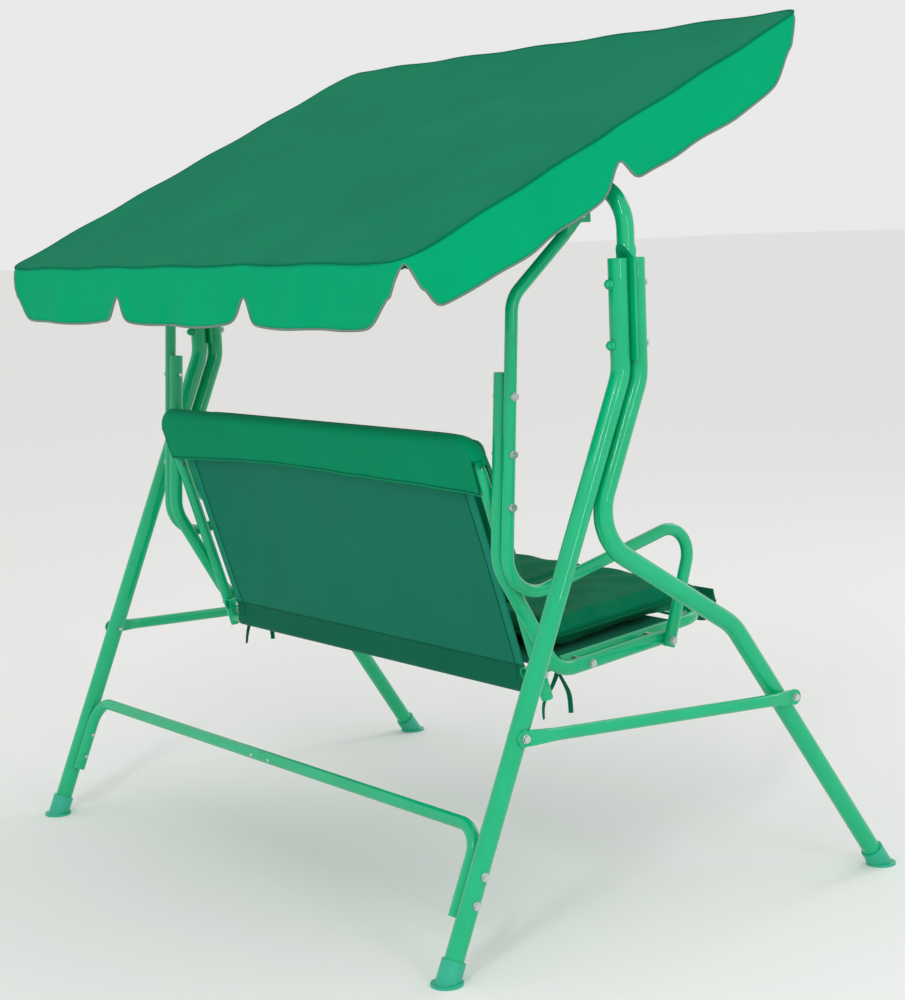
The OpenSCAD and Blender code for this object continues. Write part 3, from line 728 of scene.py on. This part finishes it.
railLean = math.atan(0.1)  # the seat rails' slope in the CAD
seatAxes = [[1, 0, 0], [0, math.cos(railLean), -math.sin(railLean)],
            [0, math.sin(railLean), math.cos(railLean)]]
_, backUp, backBehind, _ = backDirections()
backAxes = [[1, 0, 0], list(backUp), list(-backBehind)]
sewnPanels = 3
placePad("seat_cushion_pad", "seat_cushion", 0.045, seatAxes, sewnPanels)
placePad("back_cushion_pad", "back_cushion", 0.075, backAxes, sewnPanels)

flap = {"round": 0.05, "wave": (0.004, 27), "inside": 0.0003, "thick": 0.0016, "columns": 170,
        "rows": 16, "shade": 0.1, "seam": 0.0018}


# A hanging strip whose lower corners are quarter circles, and whose waves grow towards its foot
def makeFlap(c):
    low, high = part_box("seat_flap")
    across, up = np.array(seatAxes[1]), np.array(seatAxes[2])
    height = (high.z - low.z) / up[2] - c["inside"]
    x = np.linspace(low.x, high.x, c["columns"])
    past = np.clip(np.abs(x) - (high.x - c["round"]), 0, c["round"])
    depth = height - c["round"] + np.sqrt(np.maximum(c["round"] ** 2 - past ** 2, 0))
    t = np.linspace(0, 1, c["rows"])[:, None]
    top = np.array([0, (low.y + high.y) / 2, (low.z + high.z) / 2]) + up * height / 2
    swing, rate = c["wave"]
    wave = swing * np.sin(x * rate + 0.5) * t ** 1.5
    drop = depth[None] * t
    points = (top + x[None, :, None] * np.array([1, 0, 0]) - up * drop[..., None]
              + across * wave[..., None])
    uv = np.stack([np.broadcast_to(x[None], drop.shape), drop], -1)
    obj = gridMesh("seat_flap_cloth", points, uv, np.full(drop.shape, c["shade"]))
    solidify(obj, c["thick"])
    obj.data.materials.append(cushionCloth)
    hem = pathTube("flap_hem_seam", points[-1], c["seam"])
    hem.data.materials.append(cushionCloth)
    return obj, hem, (high.x - low.x, height), float((depth[1:] + depth[:-1]) @ np.diff(x) / 2)


flapCloth, flapHem, flapFlat, flapArea = makeFlap(flap)
for piece in (flapCloth, flapHem):
    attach(piece, "seat")
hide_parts("seat_flap")
print("cushions made")

tie = {
    "wide": 0.010,
    "long": 0.105,
    "thick": 0.0009,
    "place": 0.085,  # in front of the seat tube's rear end
    "rise": 0.0095,  # the rail here above the frame's lowest point
    "tube": 0.0125,
    "gap": 0.0015,  # from the tube to the band's middle
    "apart": 0.35,  # a tail's swing, as a share of its length
    "fall": 0.93,  # its drop, as a share of its length
    "sway": 0.004,
    "twist": 1.1,  # radians along a tail
    "railUp": (0, 0.1, 0.995),
    "railBack": (0, 0.995, -0.1),
}


# Tape ties at the cushion's rear corners: a band round the seat tube and two tails that hang from it.
# A tail is a strip that falls evenly, swings away as a quarter of a sine and twists a little.
def makeTies(c):
    low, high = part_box("seat_frame")
    tube, r = c["tube"], c["tube"] + c["gap"]
    y = high.y - c["place"]
    z = low.z + tube + c["rise"]
    for side, name in ((1, "left"), (-1, "right")):
        middle = np.array([side * (high.x - tube), y, z])
        turn = np.linspace(0, 2 * np.pi, 40)
        wide = np.linspace(-0.5, 0.5, 5) * c["wide"]
        ring = (middle + r * (np.cos(turn)[:, None, None] * np.array([1, 0, 0])
                + np.sin(turn)[:, None, None] * np.array(c["railUp"]))
                + wide[None, :, None] * np.array(c["railBack"]))
        uv = np.stack(np.broadcast_arrays(turn[:, None] * tube, wide[None]), -1)
        band = gridMesh("tie_band_" + name, ring, uv)
        tails = []
        for k, way in enumerate((-1, 1)):
            t = np.linspace(0, 1, 40)
            reach = c["long"] * c["apart"] * way
            line = np.stack([side * c["sway"] * np.sin(t * 5 + k), reach * np.sin(t * np.pi / 2),
                             -c["long"] * c["fall"] * t - c["sway"] * np.sin(t * 6)], -1)
            start = middle + np.array([0, 0, -tube - 0.002])
            twist = t * c["twist"] + k
            across = np.stack([np.cos(twist), np.sin(twist), 0 * t], -1)
            strip = start + line[:, None] + wide[None, :, None] * across[:, None]
            uv = np.stack(np.broadcast_arrays(t[:, None] * c["long"], wide[None]), -1)
            tails.append(gridMesh("tie_tail_" + name + "_" + "ab"[k], strip, uv))
        for piece in [band] + tails:
            solidify(piece, c["thick"])
            piece.data.materials.append(cushionCloth)
            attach(piece, "seat")


makeTies(tie)

button = {
    "across": 0.034,  # from the middle of the bench
    "radius": 0.0034,
    "proud": 0.0028,
    "sunk": 0.0005,
    "tube": 0.013,  # radius of the stretcher
}


# Two sprung buttons beside the stretcher's joint: domes, each a quarter ellipse turned round its axis
def makeButtons(c):
    low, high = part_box("rear_stretcher_left")
    tube = c["tube"]
    turn = np.linspace(0, 2 * np.pi, 24, endpoint=False)
    rise = np.linspace(0, np.pi / 2, 9)
    for side, name in ((1, "left"), (-1, "right")):
        foot = np.array([side * c["across"], low.y + 2 * tube - c["sunk"], high.z - tube])
        points = (foot + c["radius"] * np.cos(rise)[:, None, None]
                  * (np.cos(turn)[None, :, None] * np.array([1, 0, 0])
                     + np.sin(turn)[None, :, None] * np.array([0, 0, 1]))
                  + (c["proud"] + c["sunk"]) * np.sin(rise)[:, None, None] * np.array([0, 1, 0]))
        uv = np.zeros(points.shape[:2] + (2,))
        dome = gridMesh("stretcher_button_" + name, points, uv, closed=True)
        addCap(dome.data, list(range(len(turn))))
        fixNormals(dome)
        dome.data.materials.append(zinc)
        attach(dome, "frame")


makeButtons(button)
print("small pieces made")


studio = {
    "floor": 90,  # half the floor's side
    "daylight": 0.82,
    "aim": (0, 0, 0.8),
    # place, power in watts, width and height
    "softboxes": (((-3, 3.5, 4.5), 50, 0.2, 2.6), ((-4.5, 0.5, 2.2), 18, 0.12, 2.2),
                  ((0, -4, 4), 24, 1.5, 2.5)),
}


# A pale floor under even daylight, with soft boxes turned towards the bench
def makeStage(c):
    size = c["floor"]
    mesh = bpy.data.meshes.new("floor")
    mesh.from_pydata([(-size, -size, 0), (size, -size, 0), (size, size, 0), (-size, size, 0)], [],
                     [(0, 1, 2, 3)])
    floor = bpy.data.objects.new("floor", mesh)
    bpy.context.scene.collection.objects.link(floor)
    mat, _, shader = newMaterial("pale studio floor", {"Roughness": 0.9})
    shader.inputs["Base Color"].default_value = hexColour("#f4f4f2")
    mesh.materials.append(mat)
    world = bpy.data.worlds.new("studio")
    bpy.context.scene.world = world
    world.use_nodes = True
    sky = world.node_tree.nodes["Background"]
    sky.inputs["Color"].default_value = hexColour("#ffffff")
    sky.inputs["Strength"].default_value = c["daylight"]
    for place, power, width, height in c["softboxes"]:
        light = bpy.data.lights.new("softbox", "AREA")
        light.shape = "RECTANGLE"
        light.energy, light.size, light.size_y = power, width, height
        lamp = bpy.data.objects.new("softbox", light)
        aim = (Vector(c["aim"]) - Vector(place)).to_track_quat("-Z", "Y")
        lamp.matrix_world = Matrix.Translation(place) @ aim.to_matrix().to_4x4()
        bpy.context.scene.collection.objects.link(lamp)


makeStage(studio)
print("stage made")
